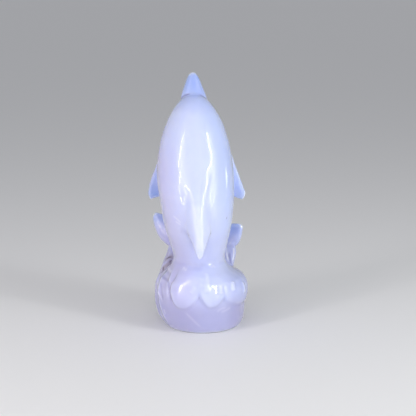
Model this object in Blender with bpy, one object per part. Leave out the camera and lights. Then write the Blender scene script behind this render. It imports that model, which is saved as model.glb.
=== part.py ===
# Chalcedony dolphin leaping from a wave, carved in one piece from one stone.
# Metres, +Z up. The back faces -Y and the belly +Y. The origin is on the floor, under the carving's middle.

import math

import bmesh
import bpy
from mathutils import Vector

# The dolphin: its height drives its pose, its proportions and its fins
FIGURE_HEIGHT = 0.110

# The wave that it leaps from. Width and depth are across the hollows, between the lobes.
WAVE_WIDTH = 0.0391
WAVE_DEPTH = 0.0420
WAVE_HEIGHT = 0.0310
WAVE_CENTRE_X = 0.0017
WAVE_CENTRE_Y = 0.0010
LOBE_BULGE = 0.0013  # how far a lobe stands out from the hollows
LOBE_LIP = 0.0030  # height of the rounding under a lobe
LOBE_NOTCH = 0.0055  # how much higher that lip is at a lobe's sides
LOBE_SQUARENESS = 2.6
FLUTE_RISE = 0.0010  # how far the ridges of the swirling flutes stand out
FLUTE_PITCH = 22.0  # degrees round the wave from ridge to ridge
FLUTE_RIDGE = -66.0  # where one of the ridges crosses the wave's middle height
FLUTE_SWIRL_BELOW = 11.0  # how far a ridge swings round below the middle, towards the back
FLUTE_SWIRL_ABOVE = -16.0  # and above it, away from the back

# How softly the stone is ground where forms meet, and how finely the solid is faceted
SOFT_GRID = 0.0007
SOFT_PASSES = 22
CRISP_GRID = 0.0005
CRISP_PASSES = 4
SOFTENING = 0.5  # how far one pass moves a point towards the middle of its neighbours
FACET_SHARE = 0.062

RING_POINTS = 40
WAVE_RING_POINTS = 180
SAMPLES_PER_SPAN = 5
WAVE_SAMPLES_PER_SPAN = 6
FIN_FULLNESS = 0.25  # how much thicker a fin is near its leading edge than in its middle
EDGE_BLUNTNESS = 0.72  # below 1, a fin's edges are ground blunt and round
BLOCK_SPREAD = 3.0  # how many times wider than the wave the block is that grinds the foot flat
BLOCK_HEIGHT = 0.02
FOOT_GRIND = 0.0004  # what that grinding takes off

# The tables of the dolphin are in hundredths of FIGURE_HEIGHT.
# Along the trunk: sideways, forward, up, half width, half depth
TRUNK = (
    (-1.0, 1.6, 91.8, 0.5, 0.5),
    (-1.0, 1.6, 90.8, 3.1, 3.0),
    (-1.0, 1.4, 88.9, 5.5, 5.3),
    (-1.0, 0.8, 85.5, 8.2, 8.0),
    (-0.9, -0.5, 80.0, 11.1, 11.0),
    (-0.8, -2.2, 71.8, 13.6, 13.4),
    (-0.6, -3.3, 60.0, 14.9, 14.9),
    (0.1, -3.2, 50.0, 14.3, 14.8),
    (0.4, -2.2, 41.0, 13.1, 13.6),
    (0.8, -0.5, 31.8, 10.8, 11.6),
    (0.9, 1.3, 24.5, 9.4, 10.2),
    (0.9, 3.0, 16.5, 7.9, 8.6),
    (0.9, 3.9, 9.0, 6.4, 7.3),
)
BEAK = (
    (-0.9, 2.6, 79.0, 6.0, 6.8),
    (-1.0, 3.2, 84.5, 5.8, 5.6),
    (-1.1, 3.7, 88.2, 5.4, 4.5),
    (-1.3, 4.2, 91.4, 4.6, 3.6),
    (-1.4, 4.5, 94.6, 3.4, 2.8),
    (-1.5, 4.7, 97.6, 2.2, 2.0),
    (-1.6, 4.8, 99.0, 1.2, 1.1),
    (-1.6, 4.8, 99.6, 0.3, 0.3),
)
THROAT = (
    (-0.6, 1.0, 62.0, 7.0, 6.5),
    (-0.8, 2.9, 70.0, 8.6, 7.6),
    (-0.9, 4.3, 77.0, 8.4, 6.5),
    (-1.0, 4.9, 82.5, 7.2, 5.0),
    (-1.1, 5.1, 87.0, 5.8, 3.8),
    (-1.2, 5.2, 91.0, 4.5, 2.9),
    (-1.4, 5.2, 94.5, 3.3, 2.2),
)
TAIL_STOCK = (
    (0.8, 8.2, 7.5, 6.2, 5.6),
    (0.8, 13.2, 10.0, 6.0, 5.6),
    (0.7, 16.8, 14.5, 5.8, 4.8),
    (0.6, 18.4, 20.5, 5.4, 3.8),
    (0.5, 18.8, 27.0, 5.0, 2.8),
)

# Across a fin, root to tip: leading point, trailing point (each sideways, forward, up), thickness
DORSAL_FIN = (
    (0.0, -14.0, 59.0, 0.5, -11.0, 42.5, 10.0),
    (0.0, -17.8, 56.8, 0.6, -14.6, 40.6, 8.6),
    (0.1, -18.9, 50.4, 0.8, -16.7, 38.2, 6.8),
    (0.5, -19.8, 43.4, 1.0, -18.5, 35.3, 5.2),
    (0.9, -20.6, 37.1, 1.15, -20.1, 32.6, 3.6),
    (1.1, -20.9, 33.6, 1.2, -20.8, 31.2, 2.2),
)
DORSAL_ROOT_SINK = 1.1  # how much deeper the soft root of the fin lies
DORSAL_ROOT_SPREAD = 1.6  # and how much thicker it is
PECTORAL_FIN = (
    (9.5, 4.0, 70.5, 8.5, 6.5, 50.5, 5.4),
    (13.0, 6.0, 68.5, 12.0, 8.5, 49.8, 4.2),
    (15.3, 8.0, 63.3, 14.8, 9.8, 49.5, 3.2),
    (17.4, 9.5, 57.8, 17.0, 10.6, 48.7, 2.6),
    (18.8, 10.4, 53.3, 18.4, 11.0, 48.3, 2.2),
    (19.2, 10.7, 51.4, 18.9, 10.9, 49.2, 1.7),
)
PECTORAL_CENTRE_X = 0.1
RIGHT_FIN_BOW = -0.6  # how far the middle of this pectoral fin's length stands out beyond the table
LEFT_FIN_BOW = 0.7
RIGHT_FLUKE = (
    (-1.0, 18.2, 20.0, -0.5, 18.8, 31.0, 5.4),
    (5.0, 18.6, 22.0, 4.0, 19.2, 33.6, 4.8),
    (12.2, 18.2, 25.3, 9.5, 18.8, 36.3, 3.8),
    (17.1, 17.0, 29.3, 13.8, 17.8, 37.2, 3.0),
    (18.3, 15.8, 33.8, 16.4, 16.6, 37.5, 2.4),
    (18.6, 15.2, 36.4, 18.0, 15.6, 37.3, 1.6),
)
LEFT_FLUKE = (
    (2.0, 18.2, 20.0, 1.5, 18.8, 31.0, 5.4),
    (-4.5, 18.6, 22.4, -3.5, 19.4, 34.0, 4.8),
    (-11.0, 18.2, 27.0, -8.6, 19.4, 37.0, 3.8),
    (-15.7, 17.0, 31.7, -12.6, 18.6, 39.4, 3.0),
    (-17.6, 15.6, 37.6, -15.8, 17.2, 41.2, 2.4),
    (-17.7, 14.6, 40.6, -17.1, 15.4, 41.8, 1.6),
)

# Up the wave: share of its height, then shares of its half width and half depth, then how far that level is
# shifted sideways and forward, as shares of the half width and half depth
WAVE_PROFILE = (
    (0.000, 0.730, 0.710, 0.040, -0.006),
    (0.016, 0.785, 0.765, 0.040, -0.006),
    (0.042, 0.845, 0.830, 0.038, -0.006),
    (0.097, 0.898, 0.890, 0.032, -0.004),
    (0.161, 0.935, 0.930, 0.022, 0.000),
    (0.258, 0.965, 0.966, 0.010, 0.000),
    (0.355, 0.985, 0.985, 0.000, 0.000),
    (0.484, 0.985, 0.990, 0.000, 0.000),
    (0.606, 0.975, 0.980, 0.000, -0.005),
    (0.700, 0.925, 0.940, -0.004, -0.010),
    (0.765, 0.830, 0.860, -0.020, -0.016),
    (0.825, 0.715, 0.755, -0.038, -0.018),
    (0.885, 0.628, 0.662, -0.042, -0.018),
    (0.950, 0.575, 0.600, -0.040, -0.018),
    (1.030, 0.555, 0.565, -0.040, -0.026),
)
# Lobes of water round the wave: start and end in degrees from straight back towards +X, height of the lip as
# a share of the wave's height, how far it stands out as a share of LOBE_BULGE. Broad ones join the others.
LOBES = (
    (-45, -4, 0.365, 1.00),
    (-4, 32, 0.390, 1.00),
    (32, 101, 0.320, 0.65),
    (-45, 101, 0.600, 0.65),
    (103, 131, 0.340, 0.90),
    (131, 159, 0.380, 0.85),
    (103, 159, 0.600, 0.75),
    (201, 229, 0.380, 0.85),
    (229, 257, 0.340, 0.90),
    (201, 257, 0.600, 0.75),
)
LOBES_FADE = (0.62, 0.88)  # shares of the wave's height between which the lobes run out upwards
FLUTES = (-103, -45)  # the stretch of the wave that has flutes in place of lobes
FLUTES_FADE = (0.05, 0.22)  # shares of the wave's height between which the flutes rise out of its foot
FLUTES_BEND_BELOW = (0.55, 0.15)  # where the ridges start and stop swinging, below and above the middle
FLUTES_BEND_ABOVE = (0.62, 0.87)

# A crest of the wave on each side of the tail. Its height is a share of the wave's. Its place sideways and
# forward and its half width and half depth are shares of the wave's half width and half depth.
RIGHT_CREST = (
    (0.38, 0.44, 0.12, 0.28, 0.42),
    (0.62, 0.46, 0.22, 0.21, 0.38),
    (0.81, 0.525, 0.32, 0.170, 0.32),
    (0.94, 0.63, 0.43, 0.170, 0.27),
    (1.04, 0.65, 0.58, 0.145, 0.20),
    (1.09, 0.665, 0.74, 0.120, 0.15),
    (1.04, 0.65, 0.88, 0.075, 0.08),
)
LEFT_CREST = (
    (0.38, -0.64, 0.12, 0.32, 0.42),
    (0.62, -0.69, 0.20, 0.25, 0.38),
    (0.81, -0.69, 0.30, 0.19, 0.32),
    (0.94, -0.645, 0.43, 0.160, 0.26),
    (1.04, -0.60, 0.58, 0.135, 0.20),
    (1.09, -0.57, 0.74, 0.115, 0.15),
    (1.04, -0.56, 0.88, 0.075, 0.08),
)

STONE_COLOUR = (0.78, 0.79, 0.97, 1.0)
STONE_ROUGHNESS = 0.12
STONE_INDEX = 1.54


def clear_scene():
    for old in list(bpy.data.objects):
        bpy.data.objects.remove(old)


def ease(value, start=0.0, end=1.0):
    # 0 up to the start and 1 from the end on, with a smooth rise between.
    share = min(max((value - start) / (end - start), 0.0), 1.0)
    return share * share * (3 - 2 * share)


def smooth_through(stations, samples=SAMPLES_PER_SPAN):
    # A cubic through the stations, spaced by the distance between them, so that uneven ones don't overshoot.
    gaps = [max(math.dist(a[:-1], b[:-1]), 1e-9) for a, b in zip(stations, stations[1:])]
    slopes = [[(y - x) / gap for x, y in zip(a, b)] for a, b, gap in zip(stations, stations[1:], gaps)]
    tangents = [slopes[0]]
    for before, after, near, far in zip(slopes, slopes[1:], gaps, gaps[1:]):
        tangents.append([(s * far + t * near) / (near + far) for s, t in zip(before, after)])
    tangents.append(slopes[-1])
    curve = []
    for start, end, gap, leave, arrive in zip(stations, stations[1:], gaps, tangents, tangents[1:]):
        for step in range(samples):
            t = step / samples
            curve.append([
                a + (b - a) * ease(t) + gap * t * (1 - t) * ((1 - t) * m - t * n)
                for a, b, m, n in zip(start, end, leave, arrive)
            ])
    curve.append(list(stations[-1]))
    return curve


def finish_mesh(name, mesh):
    data = bpy.data.meshes.new(name)
    mesh.to_mesh(data)
    mesh.free()
    made = bpy.data.objects.new(name, data)
    bpy.context.scene.collection.objects.link(made)
    return made


def loft(name, rings):
    mesh = bmesh.new()
    loops = [[mesh.verts.new(point) for point in ring] for ring in rings]
    for lower, upper in zip(loops, loops[1:]):
        for i in range(len(lower)):
            j = (i + 1) % len(lower)
            mesh.faces.new((lower[i], lower[j], upper[j], upper[i]))
    mesh.faces.new(loops[0])
    mesh.faces.new(loops[-1])
    bmesh.ops.recalc_face_normals(mesh, faces=mesh.faces)
    return finish_mesh(name, mesh)


def ring_angles():
    return [2 * math.pi * i / RING_POINTS for i in range(RING_POINTS)]


def round_limb(name, stations):
    # A limb of oval section: each ring stands square to the curve through the stations' middles.
    curve = smooth_through(stations)
    middles = [Vector(row[:3]) for row in curve]
    across = Vector((1, 0, 0))
    rings = []
    for i, row in enumerate(curve):
        along = middles[min(i + 1, len(curve) - 1)] - middles[max(i - 1, 0)]
        depth = along.cross(across).normalized()
        half_width, half_depth = row[3:]
        rings.append([
            middles[i] + across * half_width * math.cos(a) + depth * half_depth * math.sin(a)
            for a in ring_angles()
        ])
    return loft(name, rings)


def blade(name, sections, bluntness=EDGE_BLUNTNESS):
    # A fin: each section is fuller towards the leading point and thinner towards the trailing one.
    curve = smooth_through(sections)
    leads = [Vector(row[:3]) for row in curve]
    trails = [Vector(row[3:6]) for row in curve]
    rings = []
    for i, row in enumerate(curve):
        before, after = max(i - 1, 0), min(i + 1, len(curve) - 1)
        span = (leads[after] + trails[after]) - (leads[before] + trails[before])
        half_chord = (leads[i] - trails[i]) / 2
        normal = half_chord.cross(span).normalized()
        middle = (leads[i] + trails[i]) / 2
        half_thickness = row[6] / 2
        ring = []
        for a in ring_angles():
            side = math.copysign(abs(math.sin(a)) ** bluntness, math.sin(a))
            swell = half_thickness * (1 + FIN_FULLNESS * math.cos(a))
            ring.append(middle + half_chord * math.cos(a) + normal * side * swell)
        rings.append(ring)
    return loft(name, rings)


def in_metres(table):
    return [[value * FIGURE_HEIGHT / 100 for value in row] for row in table]


def dorsal_root():
    # The fin flows out of the back: under it lies a thicker copy that is ground together with the body.
    rows = []
    for lx, ly, lz, tx, ty, tz, thickness in DORSAL_FIN:
        rows.append((
            lx, ly + DORSAL_ROOT_SINK, lz, tx, ty + DORSAL_ROOT_SINK, tz + DORSAL_ROOT_SINK,
            thickness * DORSAL_ROOT_SPREAD,
        ))
    return blade("dorsal_root", in_metres(rows), bluntness=1)


def pectoral_fin(name, side, bow):
    # The fin's table is for the right side; side is 1 there and -1 on the left.
    rows = []
    for station, (lx, ly, lz, tx, ty, tz, thickness) in enumerate(PECTORAL_FIN):
        along = station / (len(PECTORAL_FIN) - 1)
        out = bow * 4 * along * (1 - along)
        lead_x = PECTORAL_CENTRE_X + side * (lx + out)
        trail_x = PECTORAL_CENTRE_X + side * (tx + out)
        rows.append((lead_x, ly, lz, trail_x, ty, tz, thickness))
    return blade(name, in_metres(rows))


def lobe_relief(degrees, height_share, start, end, lip_share):
    # 1 on the middle of a lobe, falling off round to 0 at its sides and under its lip.
    across = (2 * degrees - start - end) / (end - start)
    if abs(across) >= 1:
        return 0.0
    side = math.sqrt(1 - abs(across) ** LOBE_SQUARENESS)
    above_lip = (height_share - lip_share) * WAVE_HEIGHT - LOBE_NOTCH * (1 - side)
    rounding = min(max(above_lip / LOBE_LIP, 0.0), 1.0)
    return side * math.sqrt(1 - (1 - rounding) ** 2)


def flute_relief(degrees, height_share):
    # 1 along a ridge and 0 in the middle of a hollow. The ridges swing round as they climb, as water swirls.
    start, end = FLUTES
    if not start < degrees < end:
        return 0.0
    swing = FLUTE_SWIRL_BELOW * ease(height_share, *FLUTES_BEND_BELOW)
    swing += FLUTE_SWIRL_ABOVE * ease(height_share, *FLUTES_BEND_ABOVE)
    phase = (degrees - FLUTE_RIDGE - swing) / FLUTE_PITCH % 1
    return (2 * phase - 1) ** 2 * ease(height_share, *FLUTES_FADE)


def wave_form(name, carved):
    rings = []
    levels = smooth_through(WAVE_PROFILE, WAVE_SAMPLES_PER_SPAN)
    for height_share, reach_x, reach_y, shift_x, shift_y in levels:
        ring = []
        run_out = 1 - ease(height_share, *LOBES_FADE)
        for i in range(WAVE_RING_POINTS):
            degrees = FLUTES[0] + 360 * i / WAVE_RING_POINTS
            stand_out = 0.0
            if carved:
                lobe = max(out * lobe_relief(degrees, height_share, *row) for *row, out in LOBES)
                flute = flute_relief(degrees, height_share)
                stand_out = run_out * max(LOBE_BULGE * lobe, FLUTE_RISE * flute)
            outwards = Vector((math.sin(math.radians(degrees)), -math.cos(math.radians(degrees))))
            ring.append(Vector((
                WAVE_CENTRE_X + WAVE_WIDTH / 2 * (shift_x + reach_x * outwards.x) + stand_out * outwards.x,
                WAVE_CENTRE_Y + WAVE_DEPTH / 2 * (shift_y + reach_y * outwards.y) + stand_out * outwards.y,
                WAVE_HEIGHT * height_share,
            )))
        rings.append(ring)
    return loft(name, rings)


def wave_crest(name, table):
    half_width, half_depth = WAVE_WIDTH / 2, WAVE_DEPTH / 2
    return round_limb(name, [
        (
            WAVE_CENTRE_X + x * half_width, WAVE_CENTRE_Y + y * half_depth, up * WAVE_HEIGHT,
            w * half_width, d * half_depth,
        )
        for up, x, y, w, d in table
    ])


def fuse(name, forms, grid, passes):
    # Melts overlapping forms into one skin, and softens the lines where they meet.
    mesh = bmesh.new()
    for form in forms:
        mesh.from_mesh(form.data)
        bpy.data.objects.remove(form)
    made = finish_mesh(name, mesh)
    skin = made.modifiers.new("skin", "REMESH")
    skin.mode = "VOXEL"
    skin.voxel_size = grid
    soften = made.modifiers.new("soften", "SMOOTH")
    soften.factor = SOFTENING
    soften.iterations = passes
    return made


def settle(made):
    # Turns the modifiers' result into the object's own mesh.
    graph = bpy.context.evaluated_depsgraph_get()
    data = bpy.data.meshes.new_from_object(made.evaluated_get(graph))
    made.modifiers.clear()
    made.data = data
    return made


def grind_foot(stone):
    mesh = bmesh.new()
    bmesh.ops.create_cube(mesh, size=1)
    size = (BLOCK_SPREAD * WAVE_WIDTH, BLOCK_SPREAD * WAVE_DEPTH, BLOCK_HEIGHT)
    bmesh.ops.scale(mesh, vec=size, verts=mesh.verts)
    bmesh.ops.translate(mesh, vec=(0, 0, FOOT_GRIND - BLOCK_HEIGHT / 2), verts=mesh.verts)
    block = finish_mesh("grinding_block", mesh)
    block.parent = stone
    block.hide_render = True
    block.display_type = "WIRE"
    cut = stone.modifiers.new("flat_foot", "BOOLEAN")
    cut.operation = "DIFFERENCE"
    cut.object = block


def stone_material():
    stone = bpy.data.materials.new("lavender_chalcedony")
    stone.use_nodes = True
    shader = stone.node_tree.nodes["Principled BSDF"]
    shader.inputs["Base Color"].default_value = STONE_COLOUR
    shader.inputs["Roughness"].default_value = STONE_ROUGHNESS
    shader.inputs["Metallic"].default_value = 0.0
    shader.inputs["IOR"].default_value = STONE_INDEX
    return stone


def stand_at_origin(stone):
    # Sets the ground foot on the floor and the carving's middle over the origin.
    bpy.context.view_layer.update()
    shaped = stone.evaluated_get(bpy.context.evaluated_depsgraph_get())
    points = [vertex.co for vertex in shaped.data.vertices]
    low = [min(point[axis] for point in points) for axis in range(3)]
    high = [max(point[axis] for point in points) for axis in range(3)]
    stone.location = (-(low[0] + high[0]) / 2, -(low[1] + high[1]) / 2, -low[2])


def main():
    clear_scene()
    body = settle(fuse("body", [
        wave_form("plain_wave", carved=False),
        round_limb("trunk", in_metres(TRUNK)),
        round_limb("throat", in_metres(THROAT)),
        round_limb("stock_root", in_metres(TAIL_STOCK)),
        dorsal_root(),
    ], SOFT_GRID, SOFT_PASSES))
    stone = fuse("dolphin_on_wave", [
        body,
        wave_form("carved_wave", carved=True),
        wave_crest("right_crest", RIGHT_CREST),
        wave_crest("left_crest", LEFT_CREST),
        round_limb("beak", in_metres(BEAK)),
        round_limb("tail_stock", in_metres(TAIL_STOCK)),
        blade("dorsal_fin", in_metres(DORSAL_FIN)),
        pectoral_fin("right_pectoral_fin", 1, RIGHT_FIN_BOW),
        pectoral_fin("left_pectoral_fin", -1, LEFT_FIN_BOW),
        blade("right_fluke", in_metres(RIGHT_FLUKE)),
        blade("left_fluke", in_metres(LEFT_FLUKE)),
    ], CRISP_GRID, CRISP_PASSES)
    facets = stone.modifiers.new("facets", "DECIMATE")
    facets.ratio = FACET_SHARE
    grind_foot(stone)
    stone.data.materials.append(stone_material())
    stand_at_origin(stone)


main()
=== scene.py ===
# A dolphin leaping from a wave, carved in one piece from milky chalcedony and polished.
# Metres, +Z up. The dolphin's back faces -Y and its belly +Y.

import math

import bmesh
import bpy
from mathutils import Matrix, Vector


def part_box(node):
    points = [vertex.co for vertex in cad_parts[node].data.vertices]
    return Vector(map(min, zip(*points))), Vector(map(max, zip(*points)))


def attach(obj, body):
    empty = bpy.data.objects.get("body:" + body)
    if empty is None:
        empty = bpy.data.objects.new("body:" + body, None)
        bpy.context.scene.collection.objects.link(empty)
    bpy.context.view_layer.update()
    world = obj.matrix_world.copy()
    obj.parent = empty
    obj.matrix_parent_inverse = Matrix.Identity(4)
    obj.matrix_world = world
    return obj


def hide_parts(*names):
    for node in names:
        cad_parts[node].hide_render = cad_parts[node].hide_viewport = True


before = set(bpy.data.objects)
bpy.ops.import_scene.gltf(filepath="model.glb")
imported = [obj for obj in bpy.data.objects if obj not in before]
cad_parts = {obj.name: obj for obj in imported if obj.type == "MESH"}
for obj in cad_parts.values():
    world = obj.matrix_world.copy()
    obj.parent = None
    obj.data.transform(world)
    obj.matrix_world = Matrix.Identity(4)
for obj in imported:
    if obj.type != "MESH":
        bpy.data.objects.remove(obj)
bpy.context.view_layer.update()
stoneLow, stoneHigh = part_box("dolphin_on_wave")

# The dolphin. Its tables are in hundredths of its height, as it was before its foot was ground.
heightKept = 0.992  # share of the height left by the grinding
dolphin = {
    "height": (stoneHigh.z - stoneLow.z) / heightKept,
    "ringPoints": 56,
    "samplesPerSpan": 6,
    "finFullness": 0.25,  # how much thicker a fin is near its leading edge than in its middle
    "edgeBluntness": 0.72,  # below 1, a fin's edges are ground blunt and round
    "flukeBluntness": 0.95,
    "beakSquareness": 2.15,  # 2 would be an oval
    "pectoralCentre": 0.1,
    "pectoralBow": {1: -0.6, -1: 0.7},  # right and left: how far the middle of the fin stands out
    # Along a limb: sideways, forward, up, half width, half depth
    "trunk": (
        (-1.0, 1.6, 91.8, 0.5, 0.5),
        (-1.0, 1.6, 90.8, 3.1, 3.0),
        (-1.0, 1.4, 88.9, 5.5, 5.3),
        (-1.0, 0.8, 85.5, 8.2, 8.0),
        (-0.9, -0.5, 80.0, 11.1, 11.0),
        (-0.8, -2.2, 71.8, 13.6, 13.4),
        (-0.6, -3.3, 60.0, 14.9, 14.9),
        (0.1, -3.2, 50.0, 14.3, 14.8),
        (0.4, -2.2, 41.0, 13.1, 13.6),
        (0.8, -0.5, 31.8, 10.8, 11.6),
        (0.9, 1.3, 24.5, 9.4, 10.2),
        (0.9, 3.0, 16.5, 7.9, 8.6),
        (0.9, 3.9, 9.0, 6.4, 7.3),
    ),
    "beak": (
        (-0.9, 2.6, 79.0, 6.0, 6.8),
        (-1.0, 3.2, 84.5, 5.8, 5.6),
        (-1.1, 3.7, 88.2, 5.4, 4.5),
        (-1.3, 4.2, 91.4, 4.6, 3.6),
        (-1.4, 4.5, 94.6, 3.4, 2.8),
        (-1.5, 4.7, 97.6, 2.2, 2.0),
        (-1.6, 4.8, 99.0, 1.2, 1.1),
        (-1.6, 4.8, 99.6, 0.3, 0.3),
    ),
    "throat": (
        (-0.6, 1.0, 62.0, 7.0, 6.5),
        (-0.8, 2.9, 70.0, 8.6, 7.6),
        (-0.9, 4.3, 77.0, 8.4, 6.5),
        (-1.0, 4.9, 82.5, 7.2, 5.0),
        (-1.1, 5.1, 87.0, 5.8, 3.8),
        (-1.2, 5.2, 91.0, 4.5, 2.9),
        (-1.4, 5.2, 94.5, 3.3, 2.2),
    ),
    "tailStock": (
        (0.8, 8.2, 7.5, 6.2, 5.6),
        (0.8, 13.2, 10.0, 6.0, 5.6),
        (0.7, 16.8, 14.5, 5.8, 4.8),
        (0.6, 18.4, 20.5, 5.4, 3.8),
        (0.5, 18.8, 27.0, 5.0, 2.8),
    ),
    # Down the dorsal fin: up, sideways and forward of its ridge, the ridge's radius, the flanks' slope and
    # the fin's depth
    "dorsalFin": (
        (68.0, -0.5, -16.8, 12.5, 0.60, 1.6),
        (64.5, -0.25, -17.95, 12.2, 0.60, 1.8),
        (61.5, -0.05, -18.60, 11.0, 0.60, 2.0),
        (58.3, 0.1, -19.15, 8.0, 0.80, 2.4),
        (55.3, 0.2, -19.62, 4.4, 0.95, 2.8),
        (52.6, 0.2, -19.90, 2.8, 1.10, 3.4),
        (50.0, 0.35, -20.10, 2.3, 1.15, 4.0),
        (46.8, 0.5, -20.25, 2.2, 1.00, 5.0),
        (43.4, 0.7, -20.40, 2.2, 0.70, 6.0),
        (41.0, 0.9, -20.50, 2.2, 0.55, 6.6),
        (39.2, 1.0, -20.60, 1.9, 0.52, 5.7),
        (37.6, 1.1, -20.68, 1.75, 0.50, 4.4),
        (35.6, 1.15, -20.76, 1.6, 0.50, 3.0),
        (33.9, 1.2, -20.84, 1.4, 0.55, 2.1),
        (32.3, 1.2, -20.92, 1.1, 0.55, 1.3),
        (31.3, 1.2, -20.96, 0.7, 0.55, 0.7),
        (30.8, 1.2, -20.98, 0.3, 0.55, 0.3),
    ),
    "finSharpFrom": (57.0, 50.0),  # heights between which the ground back gives way to the fin's own edges
    "finSink": 0.7,
    "finHeel": 4,  # the higher, the squarer the back edges of its sections
    # Across a fin, root to tip: leading point, trailing point (each sideways, forward, up), thickness
    "pectoralFin": (
        (9.5, 4.0, 70.5, 8.5, 6.5, 50.5, 5.4),
        (13.0, 6.0, 68.5, 12.0, 8.5, 49.8, 4.2),
        (15.3, 8.0, 63.3, 14.8, 9.8, 49.5, 3.2),
        (17.4, 9.5, 57.8, 17.0, 10.6, 48.7, 2.6),
        (18.8, 10.4, 53.3, 18.4, 11.0, 48.3, 2.2),
        (19.2, 10.7, 51.4, 18.9, 10.9, 49.2, 1.7),
    ),
    "rightFluke": (
        (-1.0, 18.2, 20.0, -0.5, 18.8, 31.0, 5.4),
        (5.0, 18.4, 22.0, 4.0, 18.8, 33.6, 5.0),
        (12.0, 18.0, 25.3, 9.5, 18.2, 36.4, 4.4),
        (17.0, 17.8, 29.1, 13.8, 17.4, 37.3, 3.8),
        (18.3, 17.6, 33.5, 16.4, 17.2, 37.4, 3.0),
        (18.6, 17.4, 36.0, 18.0, 17.2, 37.0, 2.0),
    ),
    "leftFluke": (
        (2.0, 18.2, 20.0, 1.5, 18.8, 31.0, 5.4),
        (-4.5, 18.0, 22.4, -3.0, 17.6, 35.0, 5.2),
        (-11.0, 18.2, 27.0, -7.6, 17.2, 38.4, 5.0),
        (-15.7, 19.5, 31.4, -11.8, 18.2, 40.2, 4.4),
        (-17.7, 20.2, 36.7, -15.2, 19.2, 41.2, 3.4),
        (-18.1, 20.2, 39.9, -17.1, 19.8, 41.7, 2.2),
    ),
}


def ease(value, start=0.0, end=1.0):
    # 0 up to the start and 1 from the end on, with a smooth rise between
    share = min(max((value - start) / (end - start), 0.0), 1.0)
    return share * share * (3 - 2 * share)


def smoothThrough(stations, samples):
    # A cubic through the stations, spaced by the distance between them
    gaps = [max(math.dist(a[:3], b[:3]), 1e-9) for a, b in zip(stations, stations[1:])]
    slopes = [[(y - x) / gap for x, y in zip(a, b)] for a, b, gap in zip(stations, stations[1:], gaps)]
    tangents = [slopes[0]]
    for before, after, near, far in zip(slopes, slopes[1:], gaps, gaps[1:]):
        tangents.append([(s * far + t * near) / (near + far) for s, t in zip(before, after)])
    tangents.append(slopes[-1])
    curve = []
    for start, end, gap, leave, arrive in zip(stations, stations[1:], gaps, tangents, tangents[1:]):
        for step in range(samples):
            t = step / samples
            curve.append([
                a + (b - a) * ease(t) + gap * t * (1 - t) * ((1 - t) * m - t * n)
                for a, b, m, n in zip(start, end, leave, arrive)
            ])
    curve.append(list(stations[-1]))
    return curve


def finishMesh(name, mesh):
    # Makes the mesh an object of the scene
    data = bpy.data.meshes.new(name)
    mesh.to_mesh(data)
    mesh.free()
    made = bpy.data.objects.new(name, data)
    bpy.context.scene.collection.objects.link(made)
    return made


def loft(name, rings):
    # A closed skin over rings of points
    mesh = bmesh.new()
    loops = [[mesh.verts.new(point) for point in ring] for ring in rings]
    for lower, upper in zip(loops, loops[1:]):
        for i in range(len(lower)):
            j = (i + 1) % len(lower)
            mesh.faces.new((lower[i], lower[j], upper[j], upper[i]))
    mesh.faces.new(loops[0])
    mesh.faces.new(loops[-1])
    bmesh.ops.recalc_face_normals(mesh, faces=mesh.faces)
    return finishMesh(name, mesh)


def ringAngles():
    return [2 * math.pi * i / dolphin["ringPoints"] for i in range(dolphin["ringPoints"])]


def roundLimb(name, stations, squareness=2.0):
    # A limb of oval section, whose rings stand square to the curve through the stations
    def squared(value):
        return math.copysign(abs(value) ** (2 / squareness), value)

    curve = smoothThrough(stations, dolphin["samplesPerSpan"])
    middles = [Vector(row[:3]) for row in curve]
    across = Vector((1, 0, 0))
    rings = []
    for i, row in enumerate(curve):
        along = middles[min(i + 1, len(curve) - 1)] - middles[max(i - 1, 0)]
        depth = along.cross(across).normalized()
        rings.append([
            middles[i] + across * row[3] * squared(math.cos(a)) + depth * row[4] * squared(math.sin(a))
            for a in ringAngles()
        ])
    return loft(name, rings)


def blade(name, sections, bluntness):
    # A fin, fuller towards the leading point of each section and thinner towards the trailing one
    curve = smoothThrough(sections, dolphin["samplesPerSpan"])
    leads = [Vector(row[:3]) for row in curve]
    trails = [Vector(row[3:6]) for row in curve]
    rings = []
    for i, row in enumerate(curve):
        before, after = max(i - 1, 0), min(i + 1, len(curve) - 1)
        span = (leads[after] + trails[after]) - (leads[before] + trails[before])
        halfChord = (leads[i] - trails[i]) / 2
        normal = halfChord.cross(span).normalized()
        middle = (leads[i] + trails[i]) / 2
        ring = []
        for a in ringAngles():
            side = math.copysign(abs(math.sin(a)) ** bluntness, math.sin(a))
            swell = row[6] / 2 * (1 + dolphin["finFullness"] * math.cos(a))
            ring.append(middle + halfChord * math.cos(a) + normal * side * swell)
        rings.append(ring)
    return loft(name, rings)


def inMetres(table):
    return [[value * dolphin["height"] / 100 for value in row] for row in table]


def dorsalFin(name, sharp):
    # Its level sections are rounded wedges, open as a keel on the back and closing to the free tip
    start, end = dolphin["finSharpFrom"]
    sections = smoothThrough(dolphin["dorsalFin"], dolphin["samplesPerSpan"])
    rings = []
    for up, side, ridge, radius, slope, depth in sections:
        sink = dolphin["finSink"] * (1 - ease(start - up, 0, start - end)) if sharp else 0
        ring = []
        for a in ringAngles():
            share = (1 - math.cos(a)) / 2
            back = depth * share
            half = math.sqrt((slope * back) ** 2 + 2 * radius * back)
            half *= math.sqrt(1 - share ** dolphin["finHeel"])
            ring.append(Vector((side + math.copysign(half, math.sin(a)), ridge + sink + back, up)))
        rings.append([point * dolphin["height"] / 100 for point in ring])
    return loft(name, rings)


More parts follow.
